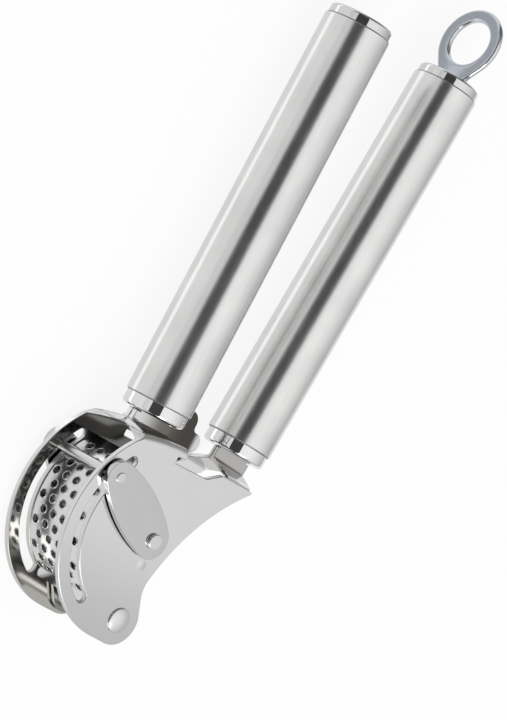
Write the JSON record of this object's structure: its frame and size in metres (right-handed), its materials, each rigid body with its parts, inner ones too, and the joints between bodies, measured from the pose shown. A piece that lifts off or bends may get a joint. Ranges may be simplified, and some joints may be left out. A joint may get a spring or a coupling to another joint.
{
  "type": "garlic press",
  "caption": "Steel garlic press with two tubular handles, a curved perforated sieve, a hinged pusher lever, a swinging scraper rod in arc slots and a hanging ring.",
  "frame": {"origin": "below the middle of the whole press, on the surface it lies on", "axes": "+X up the left handle, +Y towards the sieve, +Z along the pivots, away from the surface it lies on"},
  "size_m": [0.2318, 0.083, 0.0346],
  "materials": {
    "satin_sheet": "satin stainless sheet with rounded edges",
    "brushed_tube": "satin, brushed along the handle",
    "polished_steel": "mirror polished",
    "bright_steel": "bright rolled"
  },
  "bodies": {
    "sieve_lever": {"near_cheek": "satin_sheet", "far_cheek": "satin_sheet", "sieve": "bright_steel", "main_pivot_rivet": "bright_steel", "scraper_pivot_rivets": "bright_steel", "pivot_washers": "bright_steel", "link_washers": "bright_steel", "handle_tube_a": "brushed_tube", "ferrule_a": "polished_steel", "tang_pin_a": "bright_steel", "end_cap_a": "polished_steel"},
    "press_lever": {"near_strap": "satin_sheet", "far_strap": "satin_sheet", "pusher": "bright_steel", "pusher_ribs": "bright_steel", "pivot_sleeve": "bright_steel", "handle_tube_b": "brushed_tube", "ferrule_b": "polished_steel", "tang_pin_b": "bright_steel", "end_cap_b": "polished_steel", "hanging_ring": "satin_sheet"},
    "scraper": {"near_link": "satin_sheet", "far_link": "satin_sheet", "scraper_rod": "bright_steel"}
  },
  "joints": [
    {"name": "press_hinge", "type": "hinge", "parent": "sieve_lever", "child": "press_lever", "pos_m": [-0.1077, 0.00177, 0.0173], "axis": [0, 0, 1], "range_deg": [-70, 3.4]},
    {"name": "scraper_hinge", "type": "hinge", "parent": "sieve_lever", "child": "scraper", "pos_m": [-0.08123, 0.00706, 0.0173], "axis": [0, 0, 1], "range_deg": [-14, 88]}
  ]
}
